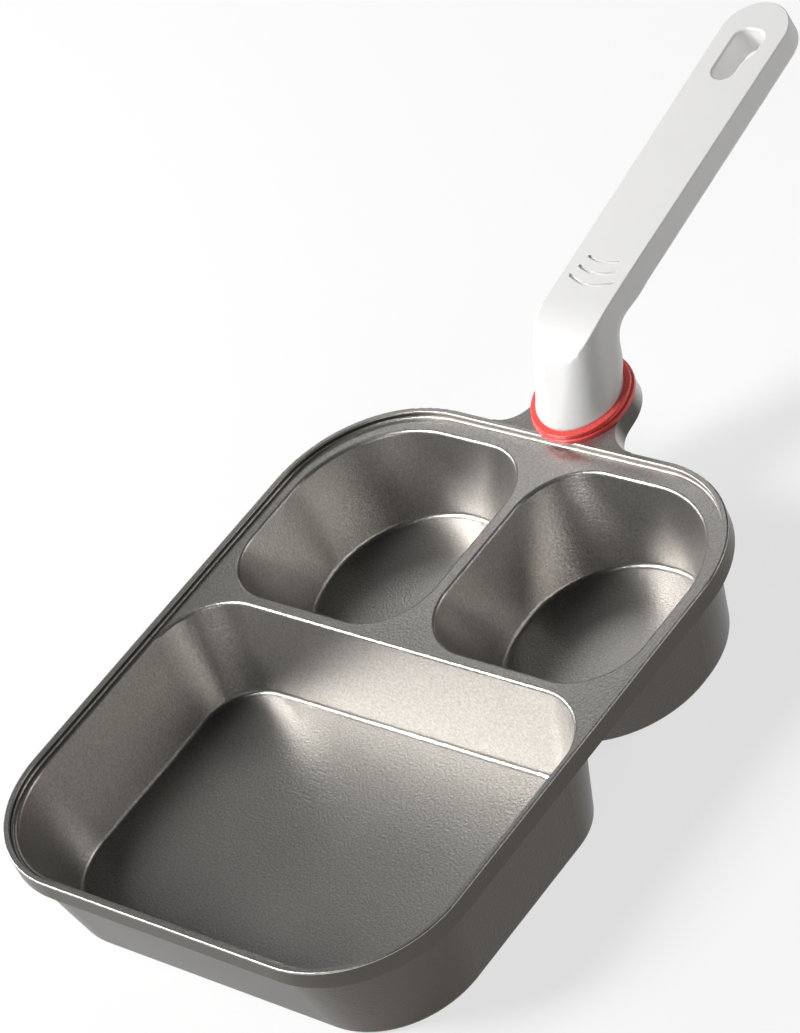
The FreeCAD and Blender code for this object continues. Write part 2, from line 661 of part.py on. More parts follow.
def top_outline(body):
    """Side view of what is cut away above the top face and its dip to the neck."""
    sketch = new_sketch(body, "TopOutline", "YZ_Plane", {"z": "-Sizes.neck_size"})
    start, radius, angle, level, high, far = 21.0, 41.5, math.radians(33), 30.9, 45.0, 170.0
    centre = vector(start, level - radius)
    arc = Part.ArcOfCircle(Part.Circle(centre, UP, radius), math.pi / 2, math.pi / 2 + angle)
    low = arc.EndPoint
    run = vector(-25 * math.cos(angle), -25 * math.sin(angle))
    left = low + run
    points = [left, vector(left.x, high), vector(far, high), vector(far, level), vector(start, level)]
    sketch.addGeometry(arc)
    sketch.addGeometry(Part.LineSegment(low, left))
    for number in range(4):
        sketch.addGeometry(Part.LineSegment(points[number], points[number + 1]))
    add = sketch.addConstraint
    add(Sketcher.Constraint("Tangent", 0, 2, 1, 1))
    add(Sketcher.Constraint("Tangent", 5, 2, 0, 1))
    for number in range(1, 5):
        add(Sketcher.Constraint("Coincident", number, 2, number + 1, 1))
    add(Sketcher.Constraint("Vertical", 2))
    add(Sketcher.Constraint("Horizontal", 3))
    add(Sketcher.Constraint("Vertical", 4))
    add(Sketcher.Constraint("Horizontal", 5))
    limit(sketch, "radius", Sketcher.Constraint("Radius", 0, radius), "Sizes.bend_radius")
    limit(sketch, "start", Sketcher.Constraint("DistanceX", -1, 1, 0, 1, start), "Sizes.bend_start")
    limit(sketch, "level", Sketcher.Constraint("DistanceY", -1, 1, 0, 1, level), "Sizes.grip_rise")
    limit(sketch, "dip", Sketcher.Constraint("Angle", 0, angle), "Sizes.bend_angle * 1 deg")
    limit(sketch, "run", Sketcher.Constraint("Distance", 1, 25.0), "Sizes.neck_size * 0.7")
    limit(
        sketch, "height", Sketcher.Constraint("DistanceY", -1, 1, 3, 1, high),
        "Sizes.grip_rise + 3 * Sizes.blank_spare")
    limit(
        sketch, "far", Sketcher.Constraint("DistanceX", -1, 1, 4, 1, far),
        "Sizes.grip_reach + 2 * Sizes.blank_spare")
    return sketch


def tip_profile(body):
    """Half section of what is cut away round the grip's end, about the end's own centre."""
    middle = "Sizes.grip_reach - Sizes.grip_tip_width / 2"
    sketch = new_sketch(body, "TipProfile", "YZ_Plane", {"x": middle})
    reach, corner, out, low, bottom, high = 14.7, 3.5, 29.4, 10.0, 18.9, 45.0
    points = [
        vector(reach, bottom + corner), vector(reach, high), vector(out, high),
        vector(out, low), vector(reach - corner, low), vector(reach - corner, bottom),
    ]
    circle = Part.Circle(vector(reach - corner, bottom + corner), UP, corner)
    sketch.addGeometry(Part.ArcOfCircle(circle, 1.5 * math.pi, 2 * math.pi))
    for number in range(5):
        sketch.addGeometry(Part.LineSegment(points[number], points[number + 1]))
    add = sketch.addConstraint
    add(Sketcher.Constraint("Tangent", 0, 2, 1, 1))
    for number in range(1, 5):
        add(Sketcher.Constraint("Coincident", number, 2, number + 1, 1))
    add(Sketcher.Constraint("Coincident", 5, 2, 0, 1))
    for line in (1, 3, 5):
        add(Sketcher.Constraint("Vertical", line))
    for line in (2, 4):
        add(Sketcher.Constraint("Horizontal", line))
    add(Sketcher.Constraint("Vertical", 0, 3, 0, 1))
    bottom_level = "Sizes.grip_rise - Sizes.grip_tip_thickness"
    limit(sketch, "corner", Sketcher.Constraint("Radius", 0, corner), "Sizes.grip_corner")
    limit(sketch, "reach", Sketcher.Constraint("DistanceX", -1, 1, 1, 1, reach), "Sizes.grip_tip_width / 2")
    limit(sketch, "bottom", Sketcher.Constraint("DistanceY", -1, 1, 0, 1, bottom), bottom_level)
    limit(sketch, "out", Sketcher.Constraint("DistanceX", -1, 1, 3, 1, out), "Sizes.grip_tip_width")
    limit(sketch, "low", Sketcher.Constraint("DistanceY", 5, 1, 5, 2, bottom - low), "Sizes.blank_spare")
    limit(
        sketch, "high", Sketcher.Constraint("DistanceY", -1, 1, 1, 2, high),
        "Sizes.grip_rise + 3 * Sizes.blank_spare")
    return sketch


def round_tip(body):
    """Round the grip's end and the lower edge there, by half a turn about its centre."""
    profile = tip_profile(body)
    before = volume(body)
    groove = body.newObject("PartDesign::Groove", "TipRound")
    groove.Profile = profile
    groove.ReferenceAxis = (profile, ["V_Axis"])
    groove.Midplane = True
    groove.Angle = 180.0
    check_change(body, "TipRound", before, grows=False)


HOLE_FAR = "(Sizes.grip_reach - Sizes.hole_end)"
HOLE_NEAR = "(Sizes.grip_reach - Sizes.hole_end - Sizes.hole_length)"


def cut_hole(body):
    """Hanging hole: straight on one side, stepped in on the other."""
    wide = "Sizes.hole_width / 2"
    narrow = "Sizes.hole_width / 2 - Sizes.hole_step"
    corners = [
        (f"-{wide}", HOLE_NEAR),
        (narrow, HOLE_NEAR),
        (narrow, f"{HOLE_NEAR} + Sizes.hole_step_start"),
        (wide, f"{HOLE_NEAR} + Sizes.hole_step_start + Sizes.hole_step_length"),
        (wide, HOLE_FAR),
        (f"-{wide}", HOLE_FAR),
    ]
    outline = polygon(new_sketch(body, "HoleOutline", "XY_Plane", {"z": "Sizes.grip_rise"}), corners)
    extrude(body, "Pocket", "HangingHole", outline, "Sizes.grip_thickness + Sizes.blank_spare")
    near = size("grip_reach") - size("hole_end") - size("hole_length")
    far = size("grip_reach") - size("hole_end")

    def upright_edges(shape):
        found = []
        for edge in shape.Edges:
            box = edge.BoundBox
            upright = box.XLength < FLAT and box.YLength < FLAT
            beside = abs(box.XMin) < size("hole_width") / 2 + FLAT
            if upright and beside and near - FLAT < box.YMin < far + FLAT:
                found.append(edge)
        return found

    def mouth_loop(shape):
        found = []
        for edge in shape.Edges:
            box = edge.BoundBox
            level = box.ZLength < FLAT and abs(box.ZMin - size("grip_rise")) < FLAT
            if level and box.YMin > near - FLAT and box.YMax < far + FLAT:
                found.append(edge)
        return found

    round_edges(body, "HoleCorners", upright_edges, "Sizes.hole_radius")
    round_edges(body, "HoleRounds", mouth_loop, "Sizes.hole_edge")


def groove_outline(body, number):
    """A curved slot with round ends, hollow towards the tip."""
    sketch = new_sketch(body, f"Groove{number}Outline", "XY_Plane", {"z": "Sizes.grip_rise"})
    radius, width, reach, start = 19.9, 1.1, 10.0, 29.0 + 5.0 * number
    centre = vector(0, start + radius)
    outer, inner = radius + width / 2, radius - width / 2
    swing = math.asin(reach / radius)
    first, last = 1.5 * math.pi - swing, 1.5 * math.pi + swing
    sketch.addGeometry(Part.ArcOfCircle(Part.Circle(centre, UP, outer), first, last))
    sketch.addGeometry(Part.ArcOfCircle(Part.Circle(centre, UP, inner), first, last))
    for angle, begin in ((first, first - math.pi), (last, last)):
        middle = centre + vector(radius * math.cos(angle), radius * math.sin(angle))
        sketch.addGeometry(Part.ArcOfCircle(Part.Circle(middle, UP, width / 2), begin, begin + math.pi))
    add = sketch.addConstraint
    add(Sketcher.Constraint("Coincident", 0, 3, 1, 3))
    add(Sketcher.Constraint("Tangent", 0, 1, 2, 2))
    add(Sketcher.Constraint("Tangent", 1, 1, 2, 1))
    add(Sketcher.Constraint("Tangent", 0, 2, 3, 1))
    add(Sketcher.Constraint("Tangent", 1, 2, 3, 2))
    add(Sketcher.Constraint("PointOnObject", 0, 3, -2))
    middle_line, half_groove = "Sizes.groove_radius", "Sizes.groove_width / 2"
    limit(sketch, "outer", Sketcher.Constraint("Radius", 0, outer), f"{middle_line} + {half_groove}")
    limit(sketch, "inner", Sketcher.Constraint("Radius", 1, inner), f"{middle_line} - {half_groove}")
    place = f"Sizes.groove_start + {number} * Sizes.groove_pitch + Sizes.groove_radius"
    limit(sketch, "place", Sketcher.Constraint("DistanceY", -1, 1, 0, 3, start + radius), place)
    half = f"(Sizes.groove_reach - {number} * Sizes.groove_taper) / 2"
    limit(sketch, "to_left", Sketcher.Constraint("DistanceX", 2, 3, -1, 1, reach), half)
    limit(sketch, "to_right", Sketcher.Constraint("DistanceX", -1, 1, 3, 3, reach), half)
    return sketch


INSERT_FOOT = "(Sizes.post_height + Sizes.socket_play)"


def insert_corners(inner):
    """Half section of the threaded insert, from its inner radius out."""
    outer = "Sizes.insert_size / 2"
    waist = f"{outer} - Sizes.insert_waist"
    top = f"{INSERT_FOOT} + Sizes.insert_length"
    return [
        (inner, INSERT_FOOT),
        (outer, INSERT_FOOT),
        (outer, f"{INSERT_FOOT} + Sizes.insert_lip"),
        (waist, f"{INSERT_FOOT} + Sizes.insert_lip + Sizes.insert_waist"),
        (waist, f"{top} - Sizes.insert_lip - Sizes.insert_waist"),
        (outer, f"{top} - Sizes.insert_lip"),
        (outer, top),
        (inner, top),
    ]


def cut_socket(body):
    """Pocket for the locating post, and above it the seat of the insert."""
    socket = new_sketch(body, "SocketOutline", "XY_Plane", {"z": "Sizes.ring_web"})
    width = "Sizes.post_width + 2 * Sizes.socket_play"
    length = "Sizes.post_length + 2 * Sizes.socket_play"
    rounded_rectangle(socket, width, length, ["Sizes.post_width / 2"] * 4)
    extrude(body, "Pocket", "Socket", socket, f"{INSERT_FOOT} - Sizes.ring_web", reverse=True)
    seat = polygon(new_sketch(body, "InsertSeatProfile", "XZ_Plane"), insert_corners("0"))
    turn_about_axis(body, "Groove", "InsertSeat", seat, False)


def make_handle():
    body = new_body("handle", on_seat=True)
    add_blank(body)
    extrude(body, "Pocket", "TopFace", top_outline(body), "2 * Sizes.neck_size", reverse=True)
    round_tip(body)
    cut_hole(body)
    for number in range(3):
        extrude(body, "Pocket", f"Groove{number}", groove_outline(body, number), "Sizes.groove_depth")
    cut_socket(body)
    return body


# The fastening from below

WASHER_TOP = "(Sizes.recess_depth - Sizes.ear_thickness)"
SPRING_TOP = f"({WASHER_TOP} - Sizes.washer_thickness)"
HEAD_TOP = f"({SPRING_TOP} - Sizes.spring_thickness)"


def make_insert():
    body = new_body("handle_insert", on_seat=True)
    inner = "Sizes.screw_size / 2 + Sizes.thread_play"
    profile = polygon(new_sketch(body, "InsertProfile", "XZ_Plane"), insert_corners(inner))
    turn_about_axis(body, "Revolution", "Insert", profile, True)
    return body


def make_washer(label, outer, top, thickness):
    body = new_body(label, on_seat=True)
    inner = "Sizes.screw_size / 2 + Sizes.washer_play"
    corners = [
        (inner, f"{top} - {thickness}"),
        (f"{outer} / 2", f"{top} - {thickness}"),
        (f"{outer} / 2", top),
        (inner, top),
    ]
    profile = polygon(new_sketch(body, f"{label}_profile", "XZ_Plane"), corners)
    turn_about_axis(body, "Revolution", f"{label}_turned", profile, True)
    return body


def make_spring_washer():
    body = make_washer("spring_washer", "Sizes.spring_size", SPRING_TOP, "Sizes.spring_thickness")
    half = "Sizes.spring_gap / 2"
    far = "Sizes.spring_size"
    corners = [(half, "0"), (half, far), (f"-{half}", far), (f"-{half}", "0")]
    gap = polygon(new_sketch(body, "GapOutline", "XY_Plane", {"z": SPRING_TOP}), corners)
    extrude(body, "Pocket", "Gap", gap, "Sizes.spring_thickness")
    return body


def make_screw():
    body = new_body("handle_screw", on_seat=True)
    shank = "Sizes.screw_size / 2"
    head = "Sizes.screw_head_size / 2"
    low = f"{HEAD_TOP} - Sizes.screw_head_height"
    corners = [
        ("0", low),
        (f"{head} * 0.6", low),
        (f"{head} * 0.92", f"{low} + Sizes.screw_head_height * 0.3"),
        (head, f"{low} + Sizes.screw_head_height * 0.7"),
        (head, HEAD_TOP),
        (shank, HEAD_TOP),
        (shank, f"{HEAD_TOP} + Sizes.screw_length - {shank} * 0.4"),
        (f"{shank} * 0.6", f"{HEAD_TOP} + Sizes.screw_length"),
        ("0", f"{HEAD_TOP} + Sizes.screw_length"),
    ]
    profile = polygon(new_sketch(body, "ScrewProfile", "XZ_Plane"), corners)
    turn_about_axis(body, "Revolution", "Screw", profile, True)
    half_width, half_length = "Sizes.drive_width / 2", "Sizes.drive_length / 2"
    for name, x, y in (("A", half_width, half_length), ("B", half_length, half_width)):
        cross = [(f"-{x}", f"-{y}"), (x, f"-{y}"), (x, y), (f"-{x}", y)]
        slot = polygon(new_sketch(body, f"Drive{name}Outline", "XY_Plane", {"z": low}), cross)
        extrude(body, "Pocket", f"Drive{name}", slot, "Sizes.drive_depth", reverse=True)
    return body


def check_and_write(bodies):
    document.recompute()
    for item in document.Objects:
        if "Invalid" in item.State or "Error" in item.State:
            raise RuntimeError(f"{item.Name} failed: {item.State}")
    for body in bodies:
        shape = body.Shape
        if shape.isNull() or not shape.isValid() or len(shape.Solids) != 1:
            raise RuntimeError(f"{body.Label} is not one valid solid")
    os.makedirs("parts", exist_ok=True)
    for body in bodies:
        body.Shape.exportStep(os.path.join("parts", f"{body.Label}.step"))
        print(f"{body.Label}: {body.Shape.Volume:.0f} mm3")


def main():
    bodies = [
        make_pan(),
        make_ring(),
        make_handle(),
        make_insert(),
        make_washer("flat_washer", "Sizes.washer_size", WASHER_TOP, "Sizes.washer_thickness"),
        make_spring_washer(),
        make_screw(),
    ]
    check_and_write(bodies)


main()
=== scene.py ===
"""Divided frying pan: its finishes and its moulded handle, with a stage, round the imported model."""

import math
from collections import namedtuple

import bmesh
import bpy
from bpy.props import FloatProperty, FloatVectorProperty, PointerProperty
from mathutils import Matrix, Vector


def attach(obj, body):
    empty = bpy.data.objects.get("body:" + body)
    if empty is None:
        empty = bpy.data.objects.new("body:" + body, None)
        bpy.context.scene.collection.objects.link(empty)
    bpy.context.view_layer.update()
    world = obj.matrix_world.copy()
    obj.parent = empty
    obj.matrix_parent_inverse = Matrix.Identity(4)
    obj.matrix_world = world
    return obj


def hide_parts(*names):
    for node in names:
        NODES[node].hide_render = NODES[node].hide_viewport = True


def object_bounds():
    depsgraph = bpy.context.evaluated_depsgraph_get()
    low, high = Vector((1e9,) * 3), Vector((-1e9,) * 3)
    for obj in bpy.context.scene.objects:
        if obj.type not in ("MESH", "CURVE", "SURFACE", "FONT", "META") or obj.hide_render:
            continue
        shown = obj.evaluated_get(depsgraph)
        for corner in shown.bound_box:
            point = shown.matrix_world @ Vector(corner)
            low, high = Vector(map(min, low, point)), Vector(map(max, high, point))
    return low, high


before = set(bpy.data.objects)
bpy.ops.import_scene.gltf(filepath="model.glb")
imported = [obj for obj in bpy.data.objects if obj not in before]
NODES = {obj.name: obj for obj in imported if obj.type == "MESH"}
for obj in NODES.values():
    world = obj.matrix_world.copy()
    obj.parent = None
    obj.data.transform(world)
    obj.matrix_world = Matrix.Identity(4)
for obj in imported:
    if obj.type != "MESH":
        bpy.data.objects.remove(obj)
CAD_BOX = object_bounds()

bl_info = {
    "name": "Divided Frying Pan",
    "version": (1, 0, 0),
    "blender": (4, 5, 0),
    "location": "View3D > Sidebar > Divided Pan",
    "description": "Dresses the divided frying pan and sets its stage",
    "category": "Object",
}

WHITE = (1.0, 1.0, 1.0, 1.0)


# Sizes, colours and powers that a user would change

class CastingFinish(bpy.types.PropertyGroup):
    """Satin titanium-grey coat of the casting"""

    color: FloatVectorProperty(
        name="Coat Colour", description="Colour of the coat on the cooking side",
        subtype="COLOR", default=(0.49, 0.472, 0.448), min=0.0, max=1.0)
    # Painted shade: this darker, warmer colour stands in for the shade on the outer walls.
    outer_shade_color: FloatVectorProperty(
        name="Outer Coat Colour", description="Colour of the darker coat on the outer walls",
        subtype="COLOR", default=(0.088, 0.078, 0.066), min=0.0, max=1.0)
    roughness: FloatProperty(
        name="Roughness", description="Mean roughness of the coat",
        subtype="FACTOR", default=0.32, min=0.0, max=1.0)
    grain_size: FloatProperty(
        name="Grain Size", description="Width of one grain of the coat",
        unit="LENGTH", default=0.0009, min=0.0001)
    grain_depth: FloatProperty(
        name="Grain Depth", description="Height of one grain of the coat",
        unit="LENGTH", default=0.00012, min=0.0)


class HandleFinish(bpy.types.PropertyGroup):
    """White plastic of the handle, and its edge"""

    color: FloatVectorProperty(
        name="Plastic Colour", description="Colour of the handle",
        subtype="COLOR", default=(0.865, 0.86, 0.848), min=0.0, max=1.0)
    roughness: FloatProperty(
        name="Roughness", description="Mean roughness of the handle's skin",
        subtype="FACTOR", default=0.42, min=0.0, max=1.0)
    grain_size: FloatProperty(
        name="Grain Size", description="Width of one grain of the handle's skin",
        unit="LENGTH", default=0.0006, min=0.0001)
    grain_depth: FloatProperty(
        name="Grain Depth", description="Height of one grain of the handle's skin",
        unit="LENGTH", default=0.000012, min=0.0)
    edge: FloatProperty(
        name="Edge Rounding", description="Rounding of the grip's upper edge",
        unit="LENGTH", default=0.0004, min=0.0)


class RingFinish(bpy.types.PropertyGroup):
    """Red silicone of the ring"""

    color: FloatVectorProperty(
        name="Ring Colour", description="Colour of the ring",
        subtype="COLOR", default=(0.92, 0.10, 0.09), min=0.0, max=1.0)
    roughness: FloatProperty(
        name="Roughness", description="Mean roughness of the ring",
        subtype="FACTOR", default=0.27, min=0.0, max=1.0)
    grain_size: FloatProperty(
        name="Grain Size", description="Width of one grain of the ring",
        unit="LENGTH", default=0.0005, min=0.0001)
    grain_depth: FloatProperty(
        name="Grain Depth", description="Height of one grain of the ring",
        unit="LENGTH", default=0.00001, min=0.0)


class FastenerFinish(bpy.types.PropertyGroup):
    """Zinc plating of the screw and the washers"""

    color: FloatVectorProperty(
        name="Steel Colour", description="Colour of the screw and the washers",
        subtype="COLOR", default=(0.60, 0.60, 0.61), min=0.0, max=1.0)
    roughness: FloatProperty(
        name="Roughness", description="Mean roughness of the plating",
        subtype="FACTOR", default=0.32, min=0.0, max=1.0)
    grain_size: FloatProperty(
        name="Grain Size", description="Width of one grain of the plating",
        unit="LENGTH", default=0.0003, min=0.0001)
    grain_depth: FloatProperty(
        name="Grain Depth", description="Height of one grain of the plating",
        unit="LENGTH", default=0.000006, min=0.0)


class InsertFinish(bpy.types.PropertyGroup):
    """Turned brass of the threaded insert"""

    color: FloatVectorProperty(
        name="Brass Colour", description="Colour of the insert",
        subtype="COLOR", default=(0.72, 0.52, 0.24), min=0.0, max=1.0)
    roughness: FloatProperty(
        name="Roughness", description="Mean roughness of the brass",
        subtype="FACTOR", default=0.28, min=0.0, max=1.0)
    grain_size: FloatProperty(
        name="Grain Size", description="Width of one grain of the brass",
        unit="LENGTH", default=0.0003, min=0.0001)
    grain_depth: FloatProperty(
        name="Grain Depth", description="Height of one grain of the brass",
        unit="LENGTH", default=0.000006, min=0.0)


class StageSettings(bpy.types.PropertyGroup):
    """Floor, lamps and camera"""

    floor_color: FloatVectorProperty(
        name="Floor Colour", description="Colour of the floor",
        subtype="COLOR", default=(0.95, 0.95, 0.95), min=0.0, max=1.0)
    floor_glow: FloatProperty(
        name="Floor Glow", description="Share of plain white that the camera sees in the floor",
        subtype="FACTOR", default=0.70, min=0.0, max=1.0)
    floor_width: FloatProperty(
        name="Floor Width", description="Side of the floor",
        unit="LENGTH", default=60.0, min=1.0)
    sky_strength: FloatProperty(
        name="Sky Strength", description="Strength of the even light",
        default=0.02, min=0.0)
    key_power: FloatProperty(
        name="Key Power", description="Power of the main lamp at the front left",
        unit="POWER", default=34.0, min=0.0)
    left_power: FloatProperty(
        name="Left Power", description="Power of the low lamp at the left",
        unit="POWER", default=9.0, min=0.0)
    right_power: FloatProperty(
        name="Right Power", description="Power of the lamp at the back right",
        unit="POWER", default=4.0, min=0.0)
    front_power: FloatProperty(
        name="Front Power", description="Power of the low lamp at the front",
        unit="POWER", default=3.0, min=0.0)
    deck_power: FloatProperty(
        name="Deck Power", description="Power of the small lamp that the deck's back mirrors",
        unit="POWER", default=0.20, min=0.0)
    lens: FloatProperty(
        name="Lens", description="Focal length",
        unit="CAMERA", default=155.3, min=1.0)


# Node helpers

def rgba(color, factor=1.0):
    """A colour without transparency, made darker or lighter by a factor."""
    return (color[0] * factor, color[1] * factor, color[2] * factor, 1.0)


def new_material(name):
    """An empty node material with its output."""
    material = bpy.data.materials.new(name)
    material.use_nodes = True
    tree = material.node_tree
    tree.nodes.clear()
    output = tree.nodes.new("ShaderNodeOutputMaterial")
    return material, tree, output


def add_principled(tree, output, values):
    """A Principled BSDF whose plain values are set on its own sockets."""
    shader = tree.nodes.new("ShaderNodeBsdfPrincipled")
    for socket, value in values.items():
        shader.inputs[socket].default_value = value
    tree.links.new(shader.outputs["BSDF"], output.inputs["Surface"])
    return shader


def add_noise(tree, place, detail):
    """A noise in the object's own coordinates."""
    noise = tree.nodes.new("ShaderNodeTexNoise")
    noise.inputs["Detail"].default_value = detail
    tree.links.new(place.outputs["Object"], noise.inputs["Vector"])
    return noise


def map_range(tree, value, source, result=(0.0, 1.0)):
    """Takes a number from one range to another, held at the ends."""
    ramp = tree.nodes.new("ShaderNodeMapRange")
    ramp.inputs["From Min"].default_value = source[0]
    ramp.inputs["From Max"].default_value = source[1]
    ramp.inputs["To Min"].default_value = result[0]
    ramp.inputs["To Max"].default_value = result[1]
    tree.links.new(value, ramp.inputs["Value"])
    return ramp.outputs["Result"]


def mix_colors(tree, mask):
    """A mix of the colours in its A and B, which follows a mask."""
    mix = tree.nodes.new("ShaderNodeMix")
    mix.data_type = "RGBA"
    tree.links.new(mask, mix.inputs["Factor"])
    return mix


# Grain, which all the finishes share

GRAIN_GROUP = "fine_grain"
GRAIN_SIZE = 0.001
GRAIN_DEPTH = 0.00001
GRAIN_DETAIL = 2.0
GRAIN_BREAKUP = 0.6
CLOUDS_PER_METRE = 22.0
CLOUD_DETAIL = 3.0
SPECKLE_RANGE = (0.36, 0.64)
USUAL_RANGE = (0.3, 0.7)


def make_grain_group():
    """Fine cast or moulded grain: a speckle mask, a slow cloud mask and a normal."""
    group = bpy.data.node_groups.new(GRAIN_GROUP, "ShaderNodeTree")
    sockets = group.interface
    for name, usual in (("Grain Size", GRAIN_SIZE), ("Grain Depth", GRAIN_DEPTH)):
        socket = sockets.new_socket(name, in_out="INPUT", socket_type="NodeSocketFloat")
        socket.default_value = usual
    sockets.new_socket("Mask", in_out="OUTPUT", socket_type="NodeSocketFloat")
    sockets.new_socket("Cloud", in_out="OUTPUT", socket_type="NodeSocketFloat")
    sockets.new_socket("Normal", in_out="OUTPUT", socket_type="NodeSocketVector")
    nodes, links = group.nodes, group.links
    entry = nodes.new("NodeGroupInput")
    leave = nodes.new("NodeGroupOutput")
    place = nodes.new("ShaderNodeTexCoord")
    per_metre = nodes.new("ShaderNodeMath")
    per_metre.operation = "DIVIDE"
    per_metre.inputs[0].default_value = 1.0
    links.new(entry.outputs["Grain Size"], per_metre.inputs[1])
    grain = add_noise(group, place, GRAIN_DETAIL)
    grain.inputs["Roughness"].default_value = GRAIN_BREAKUP
    links.new(per_metre.outputs["Value"], grain.inputs["Scale"])
    cloud = add_noise(group, place, CLOUD_DETAIL)
    cloud.inputs["Scale"].default_value = CLOUDS_PER_METRE
    bump = nodes.new("ShaderNodeBump")
    bump.inputs["Strength"].default_value = 1.0
    links.new(entry.outputs["Grain Depth"], bump.inputs["Distance"])
    links.new(grain.outputs["Fac"], bump.inputs["Height"])
    links.new(map_range(group, grain.outputs["Fac"], SPECKLE_RANGE), leave.inputs["Mask"])
    links.new(cloud.outputs["Fac"], leave.inputs["Cloud"])
    links.new(bump.outputs["Normal"], leave.inputs["Normal"])
    return group


def place_grain(tree):
    """The grain group in a material, with its usual values."""
    node = tree.nodes.new("ShaderNodeGroup")
    node.node_tree = bpy.data.node_groups.get(GRAIN_GROUP) or make_grain_group()
    return node


def add_grain(tree, shader, finish):
    """The grain group with a finish's own values; its normal goes to the shader."""
    grain = place_grain(tree)
    grain.inputs["Grain Size"].default_value = finish.grain_size
    grain.inputs["Grain Depth"].default_value = finish.grain_depth
    tree.links.new(grain.outputs["Normal"], shader.inputs["Normal"])
    return grain


def tint(tree, mask, color, factors, target):
    """Feeds a colour socket with two tints of one colour, blended by a mask."""
    mix = mix_colors(tree, mask)
    mix.inputs["A"].default_value = rgba(color, factors[0])
    mix.inputs["B"].default_value = rgba(color, factors[1])
    tree.links.new(mix.outputs["Result"], target)


def swing(tree, mask, middle, reach, target):
    """Feeds a number socket with values on both sides of a middle one, by a mask."""
    tree.links.new(map_range(tree, mask, USUAL_RANGE, (middle - reach, middle + reach)), target)


# Materials
# Tints are the darker and the lighter factor of a colour, swings the reach of a roughness.

COAT_METALLIC = 0.84
COAT_TINTS = (0.84, 1.12)
COAT_SWING = 0.02
# Upward parts of the normal between which the outer walls' painted shade fades in.
COOKING_SIDE_RISE = 0.10
OUTER_WALL_RISE = 0.03
PLASTIC_TINTS = (0.985, 1.0)
PLASTIC_SWING = 0.03
RUBBER_TINTS = (0.94, 1.05)
RUBBER_SWING = 0.03
METAL_TINTS = (0.92, 1.0)
METAL_SWING = 0.05
FLOOR_TINTS = (0.995, 1.0)


def outer_shade_mask(tree):
    """1 on the casting's outer walls, which lean outwards and down and take the painted shade, and 0
    on the cooking side.
    """
    place = tree.nodes.new("ShaderNodeTexCoord")
    split = tree.nodes.new("ShaderNodeSeparateXYZ")
    tree.links.new(place.outputs["Normal"], split.inputs["Vector"])
    return map_range(tree, split.outputs["Z"], (COOKING_SIDE_RISE, OUTER_WALL_RISE))


def casting_coat(finish):
    """Satin metallic coat, speckled on the cooking side; the outer walls take a darker, warmer colour
    that is painted shade.
    """
    material, tree, output = new_material("titanium_coat")
    shader = add_principled(tree, output, {"Metallic": COAT_METALLIC})
    grain = add_grain(tree, shader, finish)
    # Painted shade: faces that turn outwards and down take the darker outer colour.
    coat = mix_colors(tree, outer_shade_mask(tree))
    coat.inputs["B"].default_value = rgba(finish.outer_shade_color)
    tint(tree, grain.outputs["Mask"], finish.color, COAT_TINTS, coat.inputs["A"])
    tree.links.new(coat.outputs["Result"], shader.inputs["Base Color"])
    swing(tree, grain.outputs["Cloud"], finish.roughness, COAT_SWING, shader.inputs["Roughness"])
    return material


def clouded_material(name, finish, tints, reach, values):
    """Slow clouds in the colour, a fine speckle in the roughness and grain in the normal."""
    material, tree, output = new_material(name)
    shader = add_principled(tree, output, values)
    grain = add_grain(tree, shader, finish)
    tint(tree, grain.outputs["Cloud"], finish.color, tints, shader.inputs["Base Color"])
    swing(tree, grain.outputs["Mask"], finish.roughness, reach, shader.inputs["Roughness"])
    return material


def handle_plastic(finish):
    """Fine matt moulded plastic, with a little light under its skin."""
    return clouded_material("white_plastic", finish, PLASTIC_TINTS, PLASTIC_SWING, {
        "Specular IOR Level": 0.45,
        "Subsurface Weight": 0.05,
        "Subsurface Scale": 0.002,
    })


def ring_rubber(finish):
    """Satin soft silicone, with more light under its skin."""
    return clouded_material("red_silicone", finish, RUBBER_TINTS, RUBBER_SWING, {
        "Subsurface Weight": 0.15,
        "Subsurface Scale": 0.003,
    })


def turned_metal(name, finish):
    """Bare or plated metal with a fine grain."""
    return clouded_material(name, finish, METAL_TINTS, METAL_SWING, {"Metallic": 1.0})


def seen_white(tree):
    """1 for what the camera sees itself, in gloss and through glass, and 0 for light on the pan."""
    rays = tree.nodes.new("ShaderNodeLightPath")
    seen = rays.outputs["Is Camera Ray"]
    for name in ("Is Glossy Ray", "Is Transmission Ray"):
        either = tree.nodes.new("ShaderNodeMath")
        either.operation = "MAXIMUM"
        tree.links.new(seen, either.inputs[0])
        tree.links.new(rays.outputs[name], either.inputs[1])
        seen = either.outputs["Value"]
    return seen


def floor_material(color, glow_share):
    """Plain matt floor whose shadow is made soft to the eye by a share of plain white."""
    material, tree, output = new_material("white_floor")
    matt = tree.nodes.new("ShaderNodeBsdfDiffuse")
    tint(tree, place_grain(tree).outputs["Cloud"], color, FLOOR_TINTS, matt.inputs["Color"])
    glow = tree.nodes.new("ShaderNodeEmission")
    glow.inputs["Color"].default_value = WHITE
    glow.inputs["Strength"].default_value = 1.0
    share = tree.nodes.new("ShaderNodeMath")
    share.operation = "MULTIPLY"
    share.inputs[1].default_value = glow_share
    tree.links.new(seen_white(tree), share.inputs[0])
    mix = tree.nodes.new("ShaderNodeMixShader")
    tree.links.new(share.outputs["Value"], mix.inputs["Fac"])
    tree.links.new(matt.outputs["BSDF"], mix.inputs[1])
    tree.links.new(glow.outputs["Emission"], mix.inputs[2])
    tree.links.new(mix.outputs["Shader"], output.inputs["Surface"])
    return material


# Pieces

def add_object(name, data):
    """A new object of the scene, at the origin."""
    piece = bpy.data.objects.new(name, data)
    bpy.context.scene.collection.objects.link(piece)
    return piece


